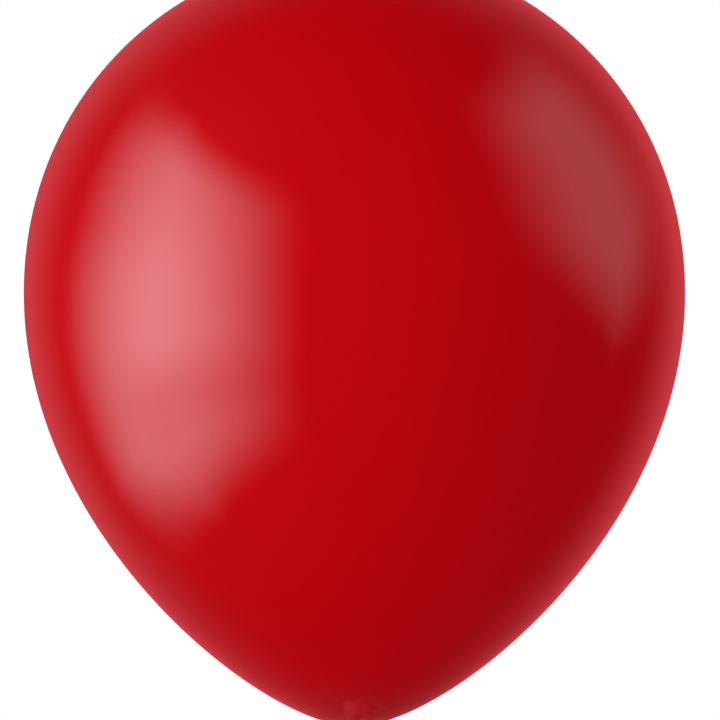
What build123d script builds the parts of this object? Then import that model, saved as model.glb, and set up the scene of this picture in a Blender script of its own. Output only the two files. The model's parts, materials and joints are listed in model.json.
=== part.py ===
from build123d import *
from math import cos, radians, sin
import os

# An inflated round latex balloon, tied off with an overhand knot in its own neck.
# The real thing is one dipped latex moulding. It is cut apart here where the latex flexes:
# bulb, throat and neck above the knot, the knot's core and wrap, and the tail's stem, skirt
# and rolled lip below it. Where two pieces bend on each other they meet in concentric balls.
# Millimetres. +Z runs up the axis to the crown. The origin is the middle of the tie groove.

# Bulb
BULB_RADIUS = 150.0        # at the equator, outside
CROWN_RISE = 154.0         # equator up to the crown
TAPER_DROP = 194.3         # equator down to the shoulder
CROWN_FLATNESS = 0.54      # share of the radius over which the crown starts out level
UPPER_UPRIGHT = 0.58       # share of the rise over which the side starts out upright
LOWER_UPRIGHT = 0.516      # share of the drop over which the side starts out upright
SKIN = 0.4                 # wall of the bulb

# Shoulder, where the dome under the bulb turns down into the throat's funnel
SHOULDER_RADIUS = 16.0
SHOULDER_SLOPE = 18.8      # degrees below level
SHOULDER_REACH = 49.1      # how far the dome holds that slope outwards
FUNNEL_HEIGHT = 10.0       # shoulder down to the straight neck
FUNNEL_REACH = 5.5         # how far the funnel holds its slope at either end

# Neck
NECK_RADIUS = 4.0
NECK_HALF_LENGTH = 3.5     # straight neck, each way from the tie groove's middle
NECK_BORE = 1.2            # what is left open between the gathers
GROOVE_LENGTH = 4.0        # tie groove, for a ribbon or a cup's slot
GROOVE_DEPTH = 0.6

# Bends between bulb and neck
SWAY_PIVOT = 2.0           # height of the point that the bulb sways about
THROAT_BAND = 3.3          # thickness of the throat's ring of balls, from the neck's outwards
BEND_GAP = 0.3             # clearance between two concentric balls

# Knot
TWIST_GAP = 0.1            # between the neck's foot and the knot's flat top
KNOT_TOP_RADIUS = 3.5
KNOT_WAIST_RADIUS = 2.5
KNOT_WAIST_DROP = 4.2      # knot's top down to its waist
TAIL_PIVOT_DROP = 8.4      # knot's top down to the point that the tail bends about
KNOT_BALL_RADIUS = 3.0     # foot of the knot, inside the tail's stem
WRAP_THICKNESS = 1.7       # half the strand that wraps the waist, measured outwards
WRAP_HEIGHT = 2.0          # half the strand, measured up the axis
WRAP_TILT = 12.0           # degrees
WRAP_BITE = 0.2            # how far the strand presses past the waist

# Tail
STEM_SHRINK = 0.1          # how much slimmer than the knot's ball the gathered stem is
STEM_BAND = 2.7            # thickness of the stem's ring of balls
STEM_BORE = 1.0
TAIL_LENGTH = 19.0         # tail's pivot down to the middle of the lip
TAIL_STRAIGHT = 4.5        # how far the stem stays slim
TAIL_FLARE = 11.0          # how far above the lip the skirt is already nearly full width
MOUTH_RADIUS = 7.2         # skirt, outside, at the lip
MOUTH_TAPER = 0.2          # how much slimmer the skirt is where its flare ends
TAIL_WALL = 0.3            # unstretched latex
BEAD_RADIUS = 1.1          # rolled lip's cross-section
BEAD_SEAT = 0.15           # how far the roll beds against the skirt

# Heights worked out from the sizes above
SHOULDER_Z = NECK_HALF_LENGTH + FUNNEL_HEIGHT
EQUATOR_Z = SHOULDER_Z + TAPER_DROP
CROWN_Z = EQUATOR_Z + CROWN_RISE
KNOT_TOP_Z = -NECK_HALF_LENGTH - TWIST_GAP
WAIST_Z = KNOT_TOP_Z - KNOT_WAIST_DROP
TAIL_PIVOT = KNOT_TOP_Z - TAIL_PIVOT_DROP
MOUTH_Z = TAIL_PIVOT - TAIL_LENGTH
STEM_RADIUS = KNOT_BALL_RADIUS - STEM_SHRINK

# A block larger than the balloon, for keeping one side of a level plane
BLOCK = 4 * (CROWN_RISE + TAPER_DROP)


def point(radius, height):
    """A point of a half outline, drawn in the XZ plane."""
    return Vector(radius, 0, height)


def ball(height, radius):
    return Pos(0, 0, height) * Sphere(radius)


def above(height):
    return Pos(0, 0, height + BLOCK / 2) * Box(BLOCK, BLOCK, BLOCK)


def below(height):
    return Pos(0, 0, height - BLOCK / 2) * Box(BLOCK, BLOCK, BLOCK)


def spun(*edges):
    """A solid of revolution about Z from a closed half outline."""
    return revolve(make_face(edges), Axis.Z)


def bulb_outline(inset):
    """Crown, equator and shoulder of the bulb's outer wall, or of its inner wall when inset."""
    slope = radians(SHOULDER_SLOPE)
    rise = CROWN_RISE - inset
    radius = BULB_RADIUS - inset
    crown = point(0, EQUATOR_Z + rise)
    equator = point(radius, EQUATOR_Z)
    shoulder = point(SHOULDER_RADIUS - inset * sin(slope), SHOULDER_Z + inset * cos(slope))
    upper = Bezier(
        crown,
        crown + Vector(CROWN_FLATNESS * radius, 0, 0),
        equator + Vector(0, 0, UPPER_UPRIGHT * rise),
        equator,
    )
    lower = Bezier(
        equator,
        equator - Vector(0, 0, LOWER_UPRIGHT * TAPER_DROP),
        shoulder + SHOULDER_REACH * Vector(cos(slope), 0, sin(slope)),
        shoulder,
    )
    return crown, upper, lower, shoulder


def funnel_outline(shoulder, foot):
    """The throat's wall, from the shoulder's slope round to straight down."""
    slope = radians(SHOULDER_SLOPE)
    return Bezier(
        shoulder,
        shoulder - FUNNEL_REACH * Vector(cos(slope), 0, sin(slope)),
        foot + Vector(0, 0, FUNNEL_REACH),
        foot,
    )


def skin_above_knot():
    """Bulb, throat and neck in one: the hollow moulding before it is cut at its bends."""
    crown, upper, lower, shoulder = bulb_outline(0)
    inner_crown, inner_upper, inner_lower, inner_shoulder = bulb_outline(SKIN)
    neck_top = point(NECK_RADIUS, NECK_HALF_LENGTH)
    groove_top = point(NECK_RADIUS, GROOVE_LENGTH / 2)
    groove_middle = point(NECK_RADIUS - GROOVE_DEPTH, 0)
    groove_foot = point(NECK_RADIUS, -GROOVE_LENGTH / 2)
    neck_foot = point(NECK_RADIUS, -NECK_HALF_LENGTH)
    bore_foot = point(NECK_BORE, -NECK_HALF_LENGTH)
    bore_top = point(NECK_BORE, NECK_HALF_LENGTH)
    return spun(
        upper,
        lower,
        funnel_outline(shoulder, neck_top),
        Line(neck_top, groove_top),
        ThreePointArc(groove_top, groove_middle, groove_foot),
        Line(groove_foot, neck_foot),
        Line(neck_foot, bore_foot),
        Line(bore_foot, bore_top),
        funnel_outline(inner_shoulder, bore_top),
        inner_lower,
        inner_upper,
        Line(inner_crown, crown),
    )


def above_knot():
    """Bulb, throat and neck, cut from one skin by balls round the sway pivot."""
    skin = skin_above_knot()
    upper = skin & above(SWAY_PIVOT)
    neck_ball = NECK_RADIUS
    throat_ball = neck_ball + THROAT_BAND
    bulb = upper - ball(SWAY_PIVOT, throat_ball + BEND_GAP)
    throat = (upper & ball(SWAY_PIVOT, throat_ball)) - ball(SWAY_PIVOT, neck_ball + BEND_GAP)
    neck = (upper & ball(SWAY_PIVOT, neck_ball)) + (skin & below(SWAY_PIVOT))
    return bulb, throat, neck


def knot_core():
    """The strand that runs straight through the knot, ending in the ball that carries the tail."""
    axis_top = point(0, KNOT_TOP_Z)
    rim = point(KNOT_TOP_RADIUS, KNOT_TOP_Z)
    waist = point(KNOT_WAIST_RADIUS, WAIST_Z)
    foot = point(KNOT_WAIST_RADIUS, TAIL_PIVOT)
    axis_foot = point(0, TAIL_PIVOT)
    spool = spun(
        Line(axis_top, rim),
        Bezier(
            rim,
            rim - Vector(0, 0, KNOT_WAIST_DROP / 2),
            waist + Vector(0, 0, KNOT_WAIST_DROP / 2),
            waist,
        ),
        Line(waist, foot),
        Line(foot, axis_foot),
        Line(axis_foot, axis_top),
    )
    return spool + ball(TAIL_PIVOT, KNOT_BALL_RADIUS)


def knot_wrap(core):
    """The strand that goes once round the waist, bedded against the core."""
    section = Pos(KNOT_WAIST_RADIUS + WRAP_THICKNESS - WRAP_BITE, 0, 0) * (
        Plane.XZ * Ellipse(WRAP_THICKNESS, WRAP_HEIGHT)
    )
    ring = revolve(section, Axis.Z)
    return Pos(0, 0, WAIST_Z) * Rot(WRAP_TILT, 0, 0) * ring - core


def tail_outline(top_radius, mouth_radius):
    """Wall of the tail, slim at the stem and belling out to the mouth."""
    top = point(top_radius, TAIL_PIVOT)
    mouth = point(mouth_radius, MOUTH_Z)
    return Bezier(
        top,
        top - Vector(0, 0, TAIL_STRAIGHT),
        mouth + Vector(-MOUTH_TAPER, 0, TAIL_FLARE),
        mouth,
    )


def tail_wall():
    """Half outline of the whole tube below the knot, from its gathered stem down to the mouth."""
    outer = tail_outline(STEM_RADIUS, MOUTH_RADIUS)
    inner = tail_outline(STEM_BORE, MOUTH_RADIUS - TAIL_WALL)
    return make_face([outer, Line(outer @ 1, inner @ 1), inner, Line(inner @ 0, outer @ 0)])


def tail(wall):
    """Stem and skirt, cut from one tube by balls round the tail's pivot."""
    tube = revolve(wall, Axis.Z)
    stem_ball = KNOT_BALL_RADIUS + BEND_GAP + STEM_BAND
    stem = (tube & ball(TAIL_PIVOT, stem_ball)) - ball(TAIL_PIVOT, KNOT_BALL_RADIUS + BEND_GAP)
    skirt = tube - ball(TAIL_PIVOT, stem_ball + BEND_GAP)
    return stem, skirt


def rolled_lip(wall):
    """The bead rolled outwards round the mouth, bedded on the skirt's wall."""
    roll = Plane.XZ * Pos(MOUTH_RADIUS + BEAD_RADIUS - BEAD_SEAT, MOUTH_Z) * Circle(BEAD_RADIUS)
    return revolve(roll - wall, Axis.Z)


bulb, throat, neck = above_knot()
core = knot_core()
wall = tail_wall()
tail_stem, tail_skirt = tail(wall)
pieces = {
    "bulb": bulb,
    "throat": throat,
    "neck": neck,
    "knot_core": core,
    "knot_wrap": knot_wrap(core),
    "tail_stem": tail_stem,
    "tail_skirt": tail_skirt,
    "rolled_lip": rolled_lip(wall),
}

os.makedirs("parts", exist_ok=True)
for name, piece in pieces.items():
    export_step(piece, f"parts/{name}.step")
    box = piece.bounding_box()
    heights = f"z {box.min.Z:.2f} to {box.max.Z:.2f}"
    print(f"{name}: {len(piece.solids())} solid, {piece.volume:.1f} mm3, {heights}")
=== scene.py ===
import json
from math import atan2, cos, exp, pi, radians, sin, tau

import bmesh
import bpy
from bpy.props import FloatProperty, FloatVectorProperty, IntProperty, PointerProperty
from bpy.types import Operator, Panel, PropertyGroup
from mathutils import Matrix, Vector
from mathutils.geometry import interpolate_bezier


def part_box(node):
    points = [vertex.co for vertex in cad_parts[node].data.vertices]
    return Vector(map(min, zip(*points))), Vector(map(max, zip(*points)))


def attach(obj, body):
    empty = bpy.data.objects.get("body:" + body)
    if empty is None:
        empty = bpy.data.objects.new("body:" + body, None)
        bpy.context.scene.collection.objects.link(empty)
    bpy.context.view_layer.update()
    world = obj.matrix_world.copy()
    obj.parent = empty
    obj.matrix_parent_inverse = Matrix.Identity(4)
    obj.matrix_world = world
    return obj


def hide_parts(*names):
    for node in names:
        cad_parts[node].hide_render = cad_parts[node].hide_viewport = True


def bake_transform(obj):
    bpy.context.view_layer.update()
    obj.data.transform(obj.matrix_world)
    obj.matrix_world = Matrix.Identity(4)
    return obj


bl_info = {
    "name": "Tied Latex Balloon",
    "version": (1, 0, 0),
    "blender": (4, 5, 0),
    "location": "View3D > Sidebar > Balloon",
    "description": "Dresses the packed balloon in stretched, gathered and slack latex, in a studio",
    "category": "Add Mesh",
}

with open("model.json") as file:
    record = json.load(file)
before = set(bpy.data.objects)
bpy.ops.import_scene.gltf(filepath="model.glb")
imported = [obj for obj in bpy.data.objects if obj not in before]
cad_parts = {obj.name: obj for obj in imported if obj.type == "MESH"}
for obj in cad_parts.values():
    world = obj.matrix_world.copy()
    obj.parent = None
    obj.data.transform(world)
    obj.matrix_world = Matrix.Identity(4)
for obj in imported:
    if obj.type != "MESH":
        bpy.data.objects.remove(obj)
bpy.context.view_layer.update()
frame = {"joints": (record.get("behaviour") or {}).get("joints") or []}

# Places, from the frame
BULB_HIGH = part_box("bulb")[1]
NECK_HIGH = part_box("neck")[1]
THROAT_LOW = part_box("throat")[0]
CORE_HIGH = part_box("knot_core")[1]
WRAP_LOW, WRAP_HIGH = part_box("knot_wrap")
SKIRT_LOW, SKIRT_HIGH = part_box("tail_skirt")
LIP_LOW, LIP_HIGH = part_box("rolled_lip")
JOINTS = {joint["name"]: joint for joint in frame["joints"]}
TAIL_Z = JOINTS["tail_bend_sideways"]["pos_m"][2]
WAIST_Z = (WRAP_LOW.z + WRAP_HIGH.z) / 2
MOUTH_Z = SKIRT_LOW.z

# The skin is one outline from crown to mouth, cut at heights where a single body carries it,
# so that the pieces on either side of a cut always meet
THROAT_CUT = (NECK_HIGH.z + THROAT_LOW.z) / 2 + 0.001    # envelope above, throat below
NECK_CUT = 0.0                                           # throat above, neck below
KNOT_CUT = CORE_HIGH.z - 0.0006                          # neck above, knot strand below
STEM_CUT = TAIL_Z + 0.001                                # knot strand above, tail stem below
SKIRT_CUT = TAIL_Z - 0.0012                              # tail stem above, skirt below

# How finely the outline is drawn, stretch by stretch, and how many steps go round the axis
CROWN_STEPS = 56
DOME_STEPS = 72
THROAT_STEPS = 28
GROOVE_STEPS = 12
KNOT_STEPS = 16
STEM_STEPS = 12
TAIL_STEPS = 48
AROUND = 192

# The knot's strand and the lip's bead
STRAND_STEPS = 150
STRAND_SEGMENTS = 56
BEAD_SEGMENTS = 40
ROLL_EDGES = (0.9, -0.35, -1.7)    # where round the bead a turn of the roll shows, in radians
ROLL_WIDTH = 0.16
ROLL_DEPTH = 0.10

# Phases that set where the uneven folds fall
NECK_SEED = 1.3
TAIL_SEED = 2.9
STRAND_SEED = 0.7

# Looks that come in between two heights, or between two distances from the axis
SPOT_RADII = (0.013, 0.0085)
SPOT_HEIGHTS = (0.33, 0.34)
GATHERED_HEIGHTS = (0.042, 0.006)
SLACK_HEIGHTS = (WAIST_Z + 0.001, WAIST_Z - 0.009)
FLOOR_FADE = (0.12, 0.36)

# Noise patterns, as scale and detail
STREAKS = (55, 4)
MOTTLE = (9, 2)
SPECKLE = (1500, 5)
PATCHES = (210, 3)
PEEL = (420, 3)
GRAIN = (2600, 2)

# Square soft lights: how far away, how large, and how many degrees above the balloon's middle.
# The floor reaches far past what the camera sees.
LAMP_DISTANCE = 1.9
LAMP_SIZE = 1.1
LAMP_RISE = 4
FLOOR_RADIUS = 8

GATHERS_TOP = WAIST_Z + 0.12    # no gathers above this height
CLOSE = 1e-7                    # points nearer than this are one
WHITE = (1, 1, 1, 1)
SIDEWAYS = Vector((1, 1, 0))    # times a place, this drops its height


class SkinSizes(PropertyGroup):
    """The inflated skin, from the crown down to the neck."""
    equator: FloatProperty(
        name="Equator", description="Height of the widest place", default=0.2078, unit="LENGTH")
    crown_flatness: FloatProperty(
        name="Crown flatness",
        description="Share of the radius over which the crown starts out level",
        default=0.54, subtype="FACTOR", min=0, max=1)
    upper_upright: FloatProperty(
        name="Upper upright",
        description="Share of the rise over which the side starts out upright",
        default=0.58, subtype="FACTOR", min=0, max=1)
    lower_upright: FloatProperty(
        name="Lower upright",
        description="Share of the drop over which the side starts out upright",
        default=0.516, subtype="FACTOR", min=0, max=1)
    shoulder_radius: FloatProperty(
        name="Shoulder radius", description="Radius where the dome turns down into the throat",
        default=0.016, unit="LENGTH")
    shoulder_height: FloatProperty(
        name="Shoulder height", description="Height of the shoulder", default=0.0135, unit="LENGTH")
    shoulder_slope: FloatProperty(
        name="Shoulder slope", description="How far the dome slopes down at the shoulder",
        default=radians(18.8), subtype="ANGLE")
    shoulder_reach: FloatProperty(
        name="Shoulder reach", description="How far the dome holds that slope outwards",
        default=0.0491, unit="LENGTH")
    funnel_reach: FloatProperty(
        name="Funnel reach", description="How far the throat holds its slope at either end",
        default=0.0055, unit="LENGTH")
    neck_reach: FloatProperty(
        name="Neck reach", description="Height of the straight neck above the tie groove's middle",
        default=0.0035, unit="LENGTH")
    groove_length: FloatProperty(
        name="Groove length", description="Height of the tie groove", default=0.004, unit="LENGTH")
    groove_depth: FloatProperty(
        name="Groove depth", description="Depth of the tie groove", default=0.0006, unit="LENGTH")
    wall: FloatProperty(
        name="Wall", description="Thickness of the skin", default=0.0004, unit="LENGTH")


class FoldSizes(PropertyGroup):
    """The gathers above the knot and the folds below it."""
    neck_folds: IntProperty(name="Neck folds", description="Gathers round the neck", default=13)
    neck_depth: FloatProperty(
        name="Neck depth", description="Depth of the neck's gathers", default=0.0008, unit="LENGTH")
    neck_fade: FloatProperty(
        name="Neck fade", description="How far the gathers run out into the dome",
        default=0.014, unit="LENGTH")
    neck_twist: FloatProperty(
        name="Neck twist", description="Turn of the gathers for each metre of height",
        default=55.0)
    tail_folds: IntProperty(name="Tail folds", description="Folds round the tail", default=7)
    stem_depth: FloatProperty(
        name="Stem depth", description="Depth of the folds under the knot",
        default=0.0007, unit="LENGTH")
    belly_depth: FloatProperty(
        name="Belly depth", description="Extra depth of the folds halfway down the tail",
        default=0.0009, unit="LENGTH")
    hem_depth: FloatProperty(
        name="Hem depth", description="Depth of the folds at the mouth",
        default=0.00035, unit="LENGTH")


class KnotSizes(PropertyGroup):
    """The strand tied round the neck."""
    turns: FloatProperty(name="Turns", description="How often the strand goes round", default=1.42)
    climb: FloatProperty(
        name="Climb", description="How far the strand climbs along its way",
        default=0.0046, unit="LENGTH")
    bulk: FloatProperty(
        name="Bulk", description="Half the strand, measured outwards",
        default=0.0017, unit="LENGTH")
    height: FloatProperty(
        name="Height", description="Half the strand, measured along the axis",
        default=0.0019, unit="LENGTH")
    ridges: IntProperty(name="Ridges", description="Creases along the strand", default=7)
    ridge_depth: FloatProperty(
        name="Ridge depth", description="Depth of those creases as a share of the strand",
        default=0.13, subtype="FACTOR", min=0, max=1)


class TailSizes(PropertyGroup):
    """The slack mouth end and its rolled lip."""
    stem_radius: FloatProperty(
        name="Stem radius", description="Gathered stem under the knot",
        default=0.0029, unit="LENGTH")
    straight: FloatProperty(
        name="Straight", description="How far the stem stays slim", default=0.0045, unit="LENGTH")
    flare: FloatProperty(
        name="Flare", description="How far above the mouth the skirt is nearly full width",
        default=0.011, unit="LENGTH")
    wall: FloatProperty(
        name="Wall", description="Thickness of the slack latex", default=0.0003, unit="LENGTH")
    oval: FloatProperty(
        name="Oval", description="How far the mouth is squeezed out of round",
        default=0.07, subtype="FACTOR", min=0, max=1)
    wave: FloatProperty(
        name="Wave", description="How far the lip waves up and down", default=0.0007, unit="LENGTH")
    turn_out: FloatProperty(
        name="Turn out", description="How far the skirt turns outwards into the roll",
        default=0.0006, unit="LENGTH")
    turn_height: FloatProperty(
        name="Turn height", description="How far above the mouth it starts to turn out",
        default=0.003, unit="LENGTH")


class LatexFinish(PropertyGroup):
    """Colours and gloss of the latex."""
    stretched: FloatVectorProperty(
        name="Stretched", description="Latex blown up thin", default=(0.70, 0.0002, 0.0042),
        subtype="COLOR", size=3, min=0, max=1)
    # At 0.4 of its brightness, the thick colour is also the painted shade in the valleys of the
    # folds
    thick: FloatVectorProperty(
        name="Thick", description="Latex at the crown's spot and near the neck",
        default=(0.50, 0.0004, 0.003), subtype="COLOR", size=3, min=0, max=1)
    slack: FloatVectorProperty(
        name="Slack", description="Latex that was never stretched", default=(0.40, 0.002, 0.004),
        subtype="COLOR", size=3, min=0, max=1)
    talc: FloatVectorProperty(
        name="Talc", description="Powder left on the slack latex", default=(0.72, 0.30, 0.30),
        subtype="COLOR", size=3, min=0, max=1)
    dusting: FloatProperty(
        name="Dusting", description="How much powder is left on the tail",
        default=0.5, subtype="FACTOR", min=0, max=1)
    roughness: FloatProperty(
        name="Roughness", description="Roughness of the stretched skin",
        default=0.08, subtype="FACTOR", min=0, max=1)
    ior: FloatProperty(
        name="IOR", description="How strongly the skin mirrors, as an index of refraction",
        default=2.0)
    sheen: FloatProperty(
        name="Sheen", description="How far the thin skin glows towards its outline",
        default=1.0, subtype="FACTOR", min=0, max=1)
    sheen_tint: FloatVectorProperty(
        name="Sheen tint", description="Colour of that glow", default=(1.0, 0.03, 0.05),
        subtype="COLOR", size=3, min=0, max=1)


class StudioSizes(PropertyGroup):
    """Camera, floor and light."""
    lens: FloatProperty(name="Lens", description="Focal length", default=135.0)
    distance: FloatProperty(
        name="Distance", description="From the camera to the axis", default=1.2337, unit="LENGTH")
    drop: FloatProperty(
        name="Drop", description="From the equator down to the camera", default=0.0303,
        unit="LENGTH")
    aside: FloatProperty(
        name="Aside", description="How far the camera stands to the right", default=0.0025,
        unit="LENGTH")
    floor_gap: FloatProperty(
        name="Floor gap", description="From the lip down to the floor",
        default=0.012, unit="LENGTH")
    tent_radius: FloatProperty(
        name="Tent radius", description="From the balloon to the panels that it mirrors",
        default=3.0, unit="LENGTH")
    window: FloatProperty(name="Window", description="Brightness of the left panel", default=1.86)
    reflector: FloatProperty(
        name="Reflector", description="Brightness of the right panel", default=0.345)
    behind: FloatProperty(
        name="Behind", description="Brightness of what is mirrored at the rim", default=0.095)
    key: FloatProperty(name="Key", description="Light from the left", default=0.42)
    right_back: FloatProperty(
        name="Right back", description="Light from behind on the right", default=0.62)
    left_back: FloatProperty(
        name="Left back", description="Light from behind on the left", default=0.42)
    ambient: FloatProperty(name="Ambient", description="Light from all round", default=0.53)


# Shaders

class Value:
    """A shader socket that takes part in ordinary arithmetic."""

    def __init__(self, shader, socket):
        self.shader = shader
        self.socket = socket

    def math(self, operation, *others):
        inputs = dict(enumerate((self,) + others))
        return self.shader.add("ShaderNodeMath", {"operation": operation}, inputs)

    def __add__(self, other):
        return self.math("ADD", other)

    def __mul__(self, other):
        return self.math("MULTIPLY", other)

    def __sub__(self, other):
        return self.math("SUBTRACT", other)

    def __rsub__(self, other):
        return (self * -1) + other

    def __pow__(self, other):
        return self.math("POWER", other)

    __radd__ = __add__
    __rmul__ = __mul__


class Shader:
    """Node tree of a material or a world, filled from nothing."""

    def __init__(self, owner):
        owner.use_nodes = True
        self.tree = owner.node_tree
        self.tree.nodes.clear()

    def add(self, kind, settings=None, inputs=None, output=0):
        """A node of any type: settings first, then values or links for its sockets."""
        node = self.tree.nodes.new(kind)
        for name, value in (settings or {}).items():
            setattr(node, name, value)
        for name, value in (inputs or {}).items():
            if isinstance(value, Value):
                self.tree.links.new(value.socket, node.inputs[name])
            else:
                node.inputs[name].default_value = value
        return Value(self, node.outputs[output]) if node.outputs else None

    def mix(self, factor, first, second):
        """Colour between first and second."""
        inputs = {"Factor": factor, 6: first, 7: second}
        return self.add("ShaderNodeMix", {"data_type": "RGBA"}, inputs, output=2)

    def split(self, vector):
        """The three parts of a vector."""
        node = self.add("ShaderNodeSeparateXYZ", {}, {0: vector}).socket.node
        return [Value(self, output) for output in node.outputs]

    def off_axis(self, place):
        """Distance of a place from the upright axis."""
        flat = self.add(
            "ShaderNodeVectorMath", {"operation": "MULTIPLY"}, {0: place, 1: SIDEWAYS})
        return self.add("ShaderNodeVectorMath", {"operation": "LENGTH"}, {0: flat}, output=1)

    def scale(self, vector, factor):
        """A colour or vector, times a factor."""
        return self.add(
            "ShaderNodeVectorMath", {"operation": "SCALE"}, {0: vector, "Scale": factor})

    def noise(self, place, pattern):
        """Noise from 0 to 1 in one of the named patterns."""
        scale, detail = pattern
        inputs = {"Vector": place, "Scale": scale, "Detail": detail}
        return self.add("ShaderNodeTexNoise", {}, inputs)

    def between(self, value, low, high):
        """0 where value is at low, 1 where it is at high, and smooth between."""
        settings = {"interpolation_type": "SMOOTHSTEP"}
        inputs = {"Value": value, "From Min": low, "From Max": high}
        return self.add("ShaderNodeMapRange", settings, inputs)

    def inside(self, *edges):
        """1 inside all the edges and 0 outside. Each runs from its dark to its bright angle."""
        share = 1
        for angle, dark, bright in edges:
            share = self.between(angle, radians(dark), radians(bright)) * share
        return share


def opaque(colour):
    return (*colour, 1.0)


def latex(name, finish):
    """Red latex: stretched thin in the dome, thick in the gathers, slack and dusty in the tail,
    with painted shade in the valleys of the folds.

    What it looks like goes by height, so that it runs on evenly from piece to piece.
    """
    if name in bpy.data.materials:
        return bpy.data.materials[name]
    material = bpy.data.materials.new(name)
    shader = Shader(material)
    place = shader.add("ShaderNodeTexCoord", output=3)
    height = shader.split(place)[2]

    # Thicker, deeper latex: the spot left by the former's tip, and the run down to the neck
    spot = shader.between(shader.off_axis(place), *SPOT_RADII)
    spot = spot * shader.between(height, *SPOT_HEIGHTS)
    gathered = shader.between(height, *GATHERED_HEIGHTS)
    slack = shader.between(height, *SLACK_HEIGHTS)
    shade = shader.mix(spot * 0.7, opaque(finish.stretched), opaque(finish.thick))
    shade = shader.mix(gathered, shade, opaque(finish.thick))
    shade = shader.mix(slack, shade, opaque(finish.slack))

    # Dip streaks run down the skin, and the film is never quite even
    streak_map = shader.add("ShaderNodeMapping", {}, {"Vector": place, "Scale": (1, 1, 0.06)})
    streak = shader.noise(streak_map, STREAKS)
    mottle = shader.noise(place, MOTTLE)
    evenness = streak * 0.05 + mottle * 0.05 + 0.95
    shade = shader.scale(shade, evenness)

    # Painted shade: the valleys of the folds are darkened as if shadowed, by how deep in a fold
    # each point lies
    crease = shader.add("ShaderNodeAttribute", {"attribute_name": "crease"}, output=2)
    shade = shader.mix(crease * 0.5, shade, opaque([part * 0.4 for part in finish.thick]))

    # Talc stays on what was never stretched, most of all on the tail's ridges
    speckle = shader.noise(place, SPECKLE)
    patch = shader.noise(place, PATCHES)
    worn = shader.between(patch * 0.55 + speckle * 0.45, 0.42, 0.68) * (1 - crease * 0.7)
    dust = worn * (slack * 0.85 + 0.15) * gathered * finish.dusting
    shade = shader.mix(dust, shade, opaque(finish.talc))

    # The skin is glossy where it is tight and satin where it is slack
    peel = shader.noise(place, PEEL)
    grain = shader.noise(place, GRAIN)
    rough = mottle * 0.03 + grain * 0.02 + (finish.roughness - 0.025)
    rough = rough + gathered * 0.12 + slack * 0.14 + dust * 0.4
    relief = (peel * 0.5 + grain * 0.25) * (gathered * 0.85 + 0.15) + dust * 0.4
    bump = shader.add("ShaderNodeBump", {}, {
        "Strength": 0.12, "Distance": 0.0004, "Height": relief})
    surface = shader.add("ShaderNodeBsdfPrincipled", {}, {
        "Base Color": shade, "Roughness": rough, "Normal": bump, "IOR": finish.ior,
        "Sheen Weight": finish.sheen, "Sheen Roughness": 0.35,
        "Sheen Tint": opaque(finish.sheen_tint)})
    shader.add("ShaderNodeOutputMaterial", {}, {"Surface": surface})
    return material


# Shapes

def curve(*corners, steps):
    """Points along a Bezier curve from four (radius, height) corners."""
    start, first, second, end = [Vector((radius, height, 0)) for radius, height in corners]
    return [Vector((p.x, p.y)) for p in interpolate_bezier(start, first, second, end, steps)]


def skin_stations(scene):
    """The skin's half outline, from crown to mouth.

    Each station is (radius, height) and then the same two parts of the outward direction.
    """
    skin, tail = scene.balloon_skin, scene.balloon_tail
    radius, crown = BULB_HIGH.x, BULB_HIGH.z
    rise = crown - skin.equator
    drop = skin.equator - skin.shoulder_height
    out, up = cos(skin.shoulder_slope), sin(skin.shoulder_slope)
    shoulder = (skin.shoulder_radius, skin.shoulder_height)
    neck = NECK_HIGH.x
    half_groove = skin.groove_length / 2
    mouth = SKIRT_HIGH.x
    waist_reach = skin.neck_reach * 0.7
    pinched = tail.stem_radius * 0.9
    points = curve(
        (0, crown),
        (skin.crown_flatness * radius, crown),
        (radius, skin.equator + skin.upper_upright * rise),
        (radius, skin.equator), steps=CROWN_STEPS)
    points += curve(
        (radius, skin.equator),
        (radius, skin.equator - skin.lower_upright * drop),
        (shoulder[0] + skin.shoulder_reach * out, shoulder[1] + skin.shoulder_reach * up),
        shoulder, steps=DOME_STEPS)[1:]
    points += curve(
        shoulder,
        (shoulder[0] - skin.funnel_reach * out, shoulder[1] - skin.funnel_reach * up),
        (neck, skin.neck_reach + skin.funnel_reach),
        (neck, skin.neck_reach), steps=THROAT_STEPS)[1:]
    for step in range(GROOVE_STEPS + 1):
        way = step / GROOVE_STEPS
        groove = skin.groove_depth * sin(pi * way) ** 2
        points.append(Vector((neck - groove, half_groove * (1 - 2 * way))))
    points += curve(
        (neck, -skin.neck_reach),
        (neck, -skin.neck_reach - waist_reach),
        (pinched, WAIST_Z + waist_reach),
        (pinched, WAIST_Z), steps=KNOT_STEPS)
    points += curve(
        (pinched, WAIST_Z),
        (pinched, WAIST_Z - waist_reach),
        (tail.stem_radius, TAIL_Z + waist_reach),
        (tail.stem_radius, TAIL_Z), steps=STEM_STEPS)[1:]
    points += curve(
        (tail.stem_radius, TAIL_Z),
        (tail.stem_radius, TAIL_Z - tail.straight),
        (mouth, MOUTH_Z + tail.flare),
        (mouth, MOUTH_Z), steps=TAIL_STEPS)[1:]
    for point in points:
        near = max(0.0, 1 - (point.y - MOUTH_Z) / tail.turn_height)
        point.x += tail.turn_out * near ** 2
    stations = []
    for index, point in enumerate(points):
        run = points[min(index + 1, len(points) - 1)] - points[max(index - 1, 0)]
        run.normalize()
        stations.append(Vector((point.x, point.y, -run.y, run.x)))
    stations[0] = Vector((0, crown, 0, 1))
    return stations


def station_at(stations, height):
    """The station at a height, between the two nearest."""
    for above, below in zip(stations, stations[1:]):
        if above.y >= height >= below.y:
            return above.lerp(below, (above.y - height) / max(above.y - below.y, 1e-9))
    return stations[0] if height > stations[0].y else stations[-1]


def stretch(stations, top, bottom):
    """The stations between two heights, with one at each."""
    inside = [s for s in stations if bottom + 1e-6 < s.y < top - 1e-6]
    return [station_at(stations, top)] + inside + [station_at(stations, bottom)]


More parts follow.
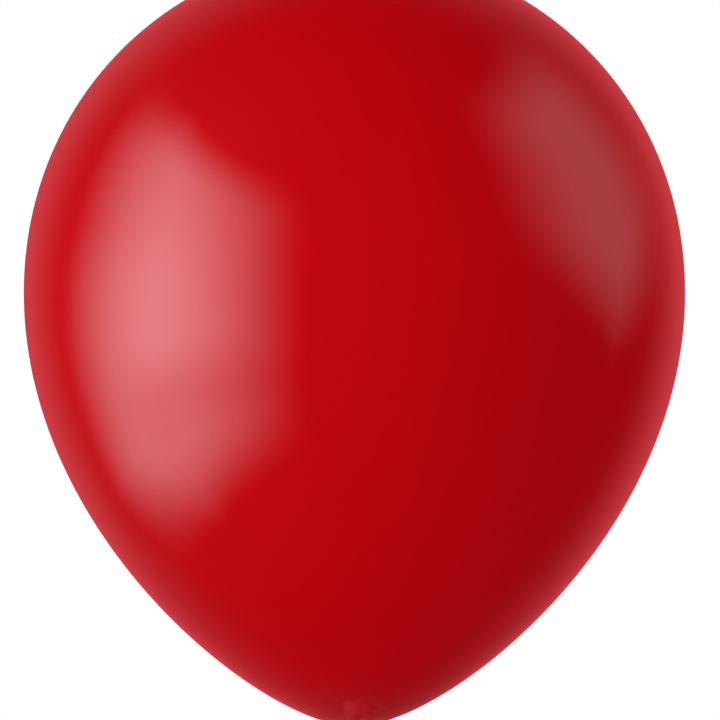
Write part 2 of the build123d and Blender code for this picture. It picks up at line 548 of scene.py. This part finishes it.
def ripple(angle, *waves):
    """Sum of waves round the axis, each given as its size, its count and its phase."""
    return sum(size * sin(count * angle + phase) for size, count, phase in waves)


def fold(angle, count, seed):
    """0 on a fold's ridge and 1 in the valley, with uneven folds."""
    bent = angle + ripple(angle, (0.17, 2, seed), (0.09, 3, 2.3 * seed))
    return 1 - abs(sin(count * bent / 2)) ** 0.8


def neck_valley(folds, station, angle):
    """How deep the gathers above the knot go. The crown has none."""
    if station.y > GATHERS_TOP:
        return 0.0
    reach = folds.neck_fade * (1 + ripple(angle, (0.38, 3, 0.8), (0.25, 7, 2.0)))
    spread = max(0.0, station.x - NECK_HIGH.x) / reach
    uneven = 0.82 + ripple(angle, (0.18, 5, 1.1))
    return folds.neck_depth * uneven * exp(-spread * spread)


def tail_valley(folds, station, angle):
    """How deep the folds below the knot go."""
    share = min(1.0, max(0.0, (WAIST_Z - station.y) / (WAIST_Z - MOUTH_Z)))
    uneven = 0.75 + ripple(angle, (0.25, 2, 0.4))
    belly = folds.belly_depth * 4 * share * (1 - share)
    return uneven * (folds.stem_depth * (1 - share) + belly + folds.hem_depth * share)


def crumple(folds, station, angle):
    """(how far the skin is drawn in, 0 to 1 for how deep in a fold) at a station and angle."""
    if station.y > WAIST_Z:
        turned = angle + folds.neck_twist * (station.y - WAIST_Z)
        share = fold(turned, folds.neck_folds, NECK_SEED)
        deep = neck_valley(folds, station, turned) * share
        return deep, deep / folds.neck_depth
    share = fold(angle, folds.tail_folds, TAIL_SEED)
    deep = tail_valley(folds, station, angle) * share
    return deep, share


def mouth_drape(tail, place):
    """Squeezes the tail out of round and waves it up and down, more and more towards the lip."""
    share = min(1.0, max(0.0, (TAIL_Z - place.z) / (TAIL_Z - MOUTH_Z)))
    share = share * share * (3 - 2 * share)
    angle = atan2(place.y, place.x)
    lift = tail.wave * share * ripple(
        angle, (1.0, 2, 0.6 + pi / 2), (0.5, 3, 2.0 + pi / 2))
    return Vector((
        place.x * (1 + tail.oval * share), place.y * (1 - tail.oval * share), place.z + lift))


def spun_skin(scene, stations):
    """Spins a stretch of the outline and presses its folds in. Its faces point outwards."""
    folds, tail = scene.balloon_folds, scene.balloon_tail
    shape = bmesh.new()
    # How deep in a fold each point lies; the latex paints shade into the valleys by it and keeps
    # talc off them
    crease = shape.verts.layers.float.new("crease")
    line = [shape.verts.new((s.x, 0, s.y)) for s in stations]
    edges = [shape.edges.new(pair) for pair in zip(line, line[1:])]
    bmesh.ops.spin(
        shape, geom=line + edges, cent=(0, 0, 0), axis=(0, 0, 1), angle=tau, steps=AROUND,
        use_merge=True)
    bmesh.ops.remove_doubles(shape, verts=shape.verts, dist=CLOSE)
    bmesh.ops.recalc_face_normals(shape, faces=shape.faces)
    if sum(face.normal.dot(face.calc_center_median() * SIDEWAYS) for face in shape.faces) < 0:
        bmesh.ops.reverse_faces(shape, faces=shape.faces)
    for vert in shape.verts:
        station = station_at(stations, vert.co.z)
        angle = atan2(vert.co.y, vert.co.x)
        deep, share = crumple(folds, station, angle)
        around = Vector((cos(angle), sin(angle), 0))
        vert.co -= deep * (station.z * around + station.w * Vector((0, 0, 1)))
        vert[crease] = share
        vert.co = mouth_drape(tail, vert.co)
    for edge in shape.edges:
        edge.smooth = not edge.is_boundary
    return shape


def close_ends(shape):
    """Fills every open ring, with a crisp edge round it."""
    rims = [edge for edge in shape.edges if edge.is_boundary]
    bmesh.ops.holes_fill(shape, edges=rims, sides=0)
    bmesh.ops.recalc_face_normals(shape, faces=shape.faces)
    for edge in rims:
        edge.smooth = False


def finished(shape, name, material):
    """A smooth object at the origin from a bmesh."""
    mesh = bpy.data.meshes.new(name)
    shape.to_mesh(mesh)
    shape.free()
    mesh.materials.append(material)
    for face in mesh.polygons:
        face.use_smooth = True
    piece = bpy.data.objects.new(name, mesh)
    bpy.context.scene.collection.objects.link(piece)
    return piece


def add_wall(piece, thickness):
    """Gives an open skin its thickness, inwards."""
    wall = piece.modifiers.new("Wall", "SOLIDIFY")
    wall.thickness = thickness
    wall.offset = -1
    wall.use_rim = True


def bend(piece):
    """Bakes the piece's placement into its mesh."""
    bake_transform(piece)


# Pieces

class BALLOON_OT_envelope(Operator):
    """Blow up the skin: crown, equator, shoulder and the creases round the throat"""
    bl_idname = "balloon.envelope"
    bl_label = "Envelope"

    def execute(self, context):
        scene = context.scene
        material = latex("stretched_skin", scene.balloon_finish)
        shape = spun_skin(scene, stretch(skin_stations(scene), BULB_HIGH.z, THROAT_CUT))
        piece = finished(shape, "envelope", material)
        add_wall(piece, scene.balloon_skin.wall)
        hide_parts("bulb")
        bend(piece)
        return {"FINISHED"}


class BALLOON_OT_gathers(Operator):
    """Gather the throat and the neck above the knot"""
    bl_idname = "balloon.gathers"
    bl_label = "Gathered neck"

    def execute(self, context):
        scene = context.scene
        material = latex("gathered_skin", scene.balloon_finish)
        stations = skin_stations(scene)
        shape = spun_skin(scene, stretch(stations, THROAT_CUT, NECK_CUT))
        close_ends(shape)
        throat = finished(shape, "throat_gathers", material)
        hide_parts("throat")
        bend(throat)
        shape = spun_skin(scene, stretch(stations, NECK_CUT, KNOT_CUT))
        close_ends(shape)
        neck = finished(shape, "neck_gathers", material)
        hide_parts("neck")
        bend(neck)
        return {"FINISHED"}


class BALLOON_OT_knot(Operator):
    """Tie the knot: the strand through its middle and the strand round it"""
    bl_idname = "balloon.knot"
    bl_label = "Overhand knot"

    def execute(self, context):
        scene = context.scene
        material = latex("gathered_skin", scene.balloon_finish)
        shape = spun_skin(scene, stretch(skin_stations(scene), KNOT_CUT, STEM_CUT))
        close_ends(shape)
        strand = finished(shape, "knot_strand", material)
        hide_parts("knot_core")
        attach(strand, "knot")
        band = finished(self.band(scene.balloon_knot), "knot_band", material)
        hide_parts("knot_wrap")
        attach(band, "knot")
        return {"FINISHED"}

    def band(self, knot):
        """A creased strand that comes out at the bottom, climbs round and tucks in at the top."""
        shape = bmesh.new()
        # How deep between the strand's ridges; the latex paints shade into these creases by it
        crease = shape.verts.layers.float.new("crease")
        bmesh.ops.create_circle(shape, cap_ends=False, segments=STRAND_SEGMENTS, radius=1)
        for vert in shape.verts:
            angle = atan2(vert.co.y, vert.co.x)
            share = fold(angle, knot.ridges, STRAND_SEED)
            vert[crease] = share * 0.7
            vert.co *= 1 - knot.ridge_depth * share
        ring = list(shape.verts)
        last = Matrix.Identity(4)
        for step in range(STRAND_STEPS + 1):
            place = self.band_place(knot, step / STRAND_STEPS)
            if step:
                grown = bmesh.ops.extrude_edge_only(shape, edges=edges)
                ring = [part for part in grown["geom"] if isinstance(part, bmesh.types.BMVert)]
                edges = [part for part in grown["geom"] if isinstance(part, bmesh.types.BMEdge)]
            else:
                edges = list(shape.edges)
            bmesh.ops.transform(shape, matrix=place @ last.inverted(), verts=ring)
            last = place
        close_ends(shape)
        return shape

    def band_line(self, knot, way):
        """Where the strand's middle runs, from its foot at 0 to its top at 1."""
        tuck = sin(pi * way) ** 0.45
        angle = tau * knot.turns * (way - 0.5) + 0.6
        tucked = 0.0006
        reach = WRAP_HIGH.x - knot.bulk + ripple(angle, (0.0002, 3, 0))
        radius = tucked + tuck * (reach - tucked)
        height = WAIST_Z + knot.climb * (way - 0.5) + ripple(angle, (0.0002, 2, 0))
        return Vector((radius * cos(angle), radius * sin(angle), height)), angle

    def band_place(self, knot, way):
        """Frame of the strand's section at a share of its way, flattened and slowly twisting."""
        small = 0.004
        middle, angle = self.band_line(knot, way)
        after, _ = self.band_line(knot, min(1.0, way + small))
        before, _ = self.band_line(knot, max(0.0, way - small))
        along = (after - before).normalized()
        outward = Vector((cos(angle), sin(angle), 0))
        outward = (outward - along * outward.dot(along)).normalized()
        upward = along.cross(outward)
        squeeze = 1 - 0.18 * abs(2 * way - 1) ** 2 + 0.04 * sin(9 * way + 1)
        section = Matrix.Diagonal((knot.bulk, knot.height * squeeze, 1, 1))
        section = section @ Matrix.Rotation(2.4 * way, 4, "Z")
        axes = Matrix((outward, upward, along)).transposed().to_4x4()
        return Matrix.Translation(middle) @ axes @ section


class BALLOON_OT_tail(Operator):
    """Let the tail hang: gathered stem, folded skirt and rolled lip"""
    bl_idname = "balloon.tail"
    bl_label = "Tail and lip"

    def execute(self, context):
        scene = context.scene
        tail = scene.balloon_tail
        material = latex("slack_skin", scene.balloon_finish)
        stations = skin_stations(scene)
        shape = spun_skin(scene, stretch(stations, STEM_CUT, SKIRT_CUT))
        close_ends(shape)
        stem = finished(shape, "tail_stem_gathers", material)
        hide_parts("tail_stem")
        bend(stem)
        shape = spun_skin(scene, stretch(stations, SKIRT_CUT, MOUTH_Z))
        skirt = finished(shape, "tail_skirt_folds", material)
        add_wall(skirt, tail.wall)
        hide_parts("tail_skirt")
        bend(skirt)
        lip = finished(self.lip(scene, stations[-1]), "lip_roll", material)
        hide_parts("rolled_lip")
        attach(lip, "tail")
        return {"FINISHED"}

    def lip(self, scene, mouth):
        """A bead of rolled latex with the roll's last edge showing, following the mouth."""
        folds, tail = scene.balloon_folds, scene.balloon_tail
        bead = (LIP_HIGH.z - LIP_LOW.z) / 2
        ring = LIP_HIGH.x - bead
        middle = (LIP_HIGH.z + LIP_LOW.z) / 2
        shape = bmesh.new()
        # How deep in the roll's grooves; the latex paints shade into them by it
        crease = shape.verts.layers.float.new("crease")
        upright = Matrix.Translation((ring, 0, middle)) @ Matrix.Rotation(pi / 2, 4, "X")
        bmesh.ops.create_circle(
            shape, cap_ends=False, segments=BEAD_SEGMENTS, radius=bead, matrix=upright)
        bmesh.ops.spin(
            shape, geom=shape.verts[:] + shape.edges[:], cent=(0, 0, 0), axis=(0, 0, 1), angle=tau,
            steps=AROUND, use_merge=True)
        bmesh.ops.remove_doubles(shape, verts=shape.verts, dist=CLOSE)
        bmesh.ops.recalc_face_normals(shape, faces=shape.faces)
        for vert in shape.verts:
            angle = atan2(vert.co.y, vert.co.x)
            around = Vector((cos(angle), sin(angle), 0))
            centre = around * ring + Vector((0, 0, middle))
            off = vert.co - centre
            side = atan2(off.z, off.dot(around))
            groove = sum(exp(-((side - edge) / ROLL_WIDTH) ** 2) for edge in ROLL_EDGES)
            swell = 1 + ripple(angle, (0.04, 3, 0.5), (0.03, 8, 0))
            vert[crease] = min(1.0, groove) * 0.8
            vert.co = centre + off * swell * (1 - ROLL_DEPTH * groove)
            deep, _ = crumple(folds, mouth, angle)
            vert.co -= around * deep
            vert.co = mouth_drape(tail, vert.co)
        return shape


# Studio

class BALLOON_OT_studio(Operator):
    """Set up the floor, the soft lights and the camera"""
    bl_idname = "balloon.studio"
    bl_label = "Studio"

    def execute(self, context):
        scene = context.scene
        studio = scene.balloon_studio
        scene.view_settings.view_transform = "Standard"
        middle = Vector((0, 0, scene.balloon_skin.equator))
        self.surround(scene, studio)
        self.floor(studio)
        self.tent(studio, middle)
        self.light("key_light", middle, -45, studio.key)
        self.light("right_back_light", middle, 140, studio.right_back)
        self.light("left_back_light", middle, -140, studio.left_back)
        self.camera(scene, studio)
        return {"FINISHED"}

    def surround(self, scene, studio):
        """White to look at, and dim and even to light by. The skin doesn't mirror it."""
        world = bpy.data.worlds.new("studio")
        scene.world = world
        shader = Shader(world)
        seen = shader.add("ShaderNodeLightPath")
        strength = seen * (1 - studio.ambient) + studio.ambient
        light = shader.add("ShaderNodeBackground", {}, {"Color": WHITE, "Strength": strength})
        shader.add("ShaderNodeOutputWorld", {}, {"Surface": light})
        world.cycles_visibility.glossy = False

    def tent(self, studio, middle):
        """Soft panels of light on a ball round the balloon, only seen mirrored in the skin."""
        material = bpy.data.materials.new("tent")
        material.cycles.emission_sampling = "NONE"
        shader = Shader(material)
        place = shader.add("ShaderNodeTexCoord", output=3)
        towards = shader.add(
            "ShaderNodeVectorMath", {"operation": "SUBTRACT"}, {0: place, 1: middle})
        x, y, z = shader.split(towards)
        bearing = x.math("ARCTAN2", y * -1)
        level = (x * x + y * y) ** 0.5
        rise = z.math("ARCTAN2", level)

        # The left panel's top edge slopes down to the right, and its foot is a dimmer panel
        side = bearing + (rise - radians(14)).math("ABSOLUTE") * 0.25
        top = rise + (bearing + radians(78)).math("MAXIMUM", 0.0) * 0.25
        upper = shader.inside(
            (side, -114, -60), (bearing, -14, -73), (rise, -26, -9), (top, 47, 31))
        upper = upper * (1 - shader.between(rise, 0, radians(42)) * 0.42)
        side = bearing - (rise + radians(30)).math("ABSOLUTE") * 0.5
        foot = rise - (bearing + radians(76)).math("ABSOLUTE") * 0.12
        lower = shader.inside(
            (side, -127, -88), (bearing, -15, -71), (foot, -53, -34), (rise, -9, -26))
        halo = shader.inside((bearing, -6, -60), (rise, -80, -30), (rise, 80, 30)) * 0.012
        # The right panel comes to a blunt point at its foot
        foot = rise - (bearing - radians(99)).math("ABSOLUTE") * 0.43
        reflector = shader.inside(
            (bearing, 48, 90), (bearing, 139, 96), (foot, -15, 9), (rise, 60, 39))
        behind = shader.inside(
            (bearing.math("ABSOLUTE"), 112, 150), (rise, -62, -6), (rise, 75, 20))
        total = (upper + lower * 0.57 + halo) * studio.window + reflector * studio.reflector
        total = total + behind * studio.behind
        cool = shader.scale((1, 1, 1.1), total)
        light = shader.add("ShaderNodeEmission", {}, {"Color": cool, "Strength": 1.0})
        shader.add("ShaderNodeOutputMaterial", {}, {"Surface": light})
        shape = bmesh.new()
        bmesh.ops.create_uvsphere(
            shape, u_segments=64, v_segments=32, radius=studio.tent_radius,
            matrix=Matrix.Translation(middle))
        tent = finished(shape, "tent", material)
        tent.visible_camera = False
        tent.visible_diffuse = False
        tent.visible_transmission = False
        tent.visible_shadow = False

    def floor(self, studio):
        """A pale sheet that fades into the white surround."""
        material = bpy.data.materials.new("pale_floor")
        shader = Shader(material)
        place = shader.add("ShaderNodeTexCoord", output=3)
        near = shader.add("ShaderNodeBsdfPrincipled", {}, {
            "Base Color": (0.86, 0.86, 0.86, 1), "Roughness": 0.9,
            "Emission Color": WHITE, "Emission Strength": 0.22})
        far = shader.add("ShaderNodeEmission", {}, {"Color": WHITE, "Strength": 1.0})
        blended = shader.add("ShaderNodeMixShader", {}, {
            0: shader.between(shader.off_axis(place), *FLOOR_FADE), 1: near, 2: far})
        shader.add("ShaderNodeOutputMaterial", {}, {"Surface": blended})
        shape = bmesh.new()
        low = Matrix.Translation((0, 0, LIP_LOW.z - studio.floor_gap))
        bmesh.ops.create_circle(shape, cap_ends=True, segments=96, radius=FLOOR_RADIUS, matrix=low)
        floor = finished(shape, "floor", material)
        floor.visible_glossy = False
        floor.visible_diffuse = False
        floor.visible_shadow = False

    def light(self, name, middle, bearing, strength):
        """A square soft light aimed at the balloon. Bearing 0 is the camera's, 90 the right."""
        lamp = bpy.data.lights.new(name, "AREA")
        lamp.size = LAMP_SIZE
        lamp.energy = strength * pi * pi * LAMP_DISTANCE ** 2
        light = bpy.data.objects.new(name, lamp)
        turn, lift = radians(bearing), radians(LAMP_RISE)
        away = Vector((sin(turn) * cos(lift), -cos(turn) * cos(lift), sin(lift)))
        light.location = middle + away * LAMP_DISTANCE
        light.rotation_euler = away.to_track_quat("Z", "Y").to_euler()
        light.visible_camera = False
        light.visible_glossy = False
        bpy.context.scene.collection.objects.link(light)

    def camera(self, scene, studio):
        lens = bpy.data.cameras.new("camera")
        lens.lens = studio.lens
        lens.dof.use_dof = False
        camera = bpy.data.objects.new("camera", lens)
        height = scene.balloon_skin.equator - studio.drop
        camera.location = (studio.aside, -studio.distance, height)
        camera.rotation_euler = (pi / 2, 0, 0)
        scene.collection.objects.link(camera)
        scene.camera = camera


class BALLOON_PT_panel(Panel):
    """Lists the balloon's pieces and their sizes"""
    bl_idname = "BALLOON_PT_panel"
    bl_label = "Latex Balloon"
    bl_space_type = "VIEW_3D"
    bl_region_type = "UI"
    bl_category = "Balloon"

    def draw(self, context):
        layout = self.layout
        for step in STEPS:
            layout.operator(step.bl_idname)
        for name, group in GROUPS.items():
            box = layout.box()
            box.label(text=group.__doc__)
            for key in group.__annotations__:
                box.prop(getattr(context.scene, name), key)


GROUPS = {
    "balloon_skin": SkinSizes,
    "balloon_folds": FoldSizes,
    "balloon_knot": KnotSizes,
    "balloon_tail": TailSizes,
    "balloon_finish": LatexFinish,
    "balloon_studio": StudioSizes,
}
STEPS = (
    BALLOON_OT_studio,
    BALLOON_OT_envelope,
    BALLOON_OT_gathers,
    BALLOON_OT_knot,
    BALLOON_OT_tail,
)


def register():
    for kind in (*GROUPS.values(), *STEPS, BALLOON_PT_panel):
        bpy.utils.register_class(kind)
    for name, group in GROUPS.items():
        setattr(bpy.types.Scene, name, PointerProperty(type=group))


def unregister():
    for name in GROUPS:
        delattr(bpy.types.Scene, name)
    for kind in (*GROUPS.values(), *STEPS, BALLOON_PT_panel):
        bpy.utils.unregister_class(kind)


def main():
    register()
    bpy.ops.balloon.studio()
    bpy.ops.balloon.envelope()
    bpy.ops.balloon.gathers()
    bpy.ops.balloon.knot()
    bpy.ops.balloon.tail()


if __name__ == "__main__":
    main()
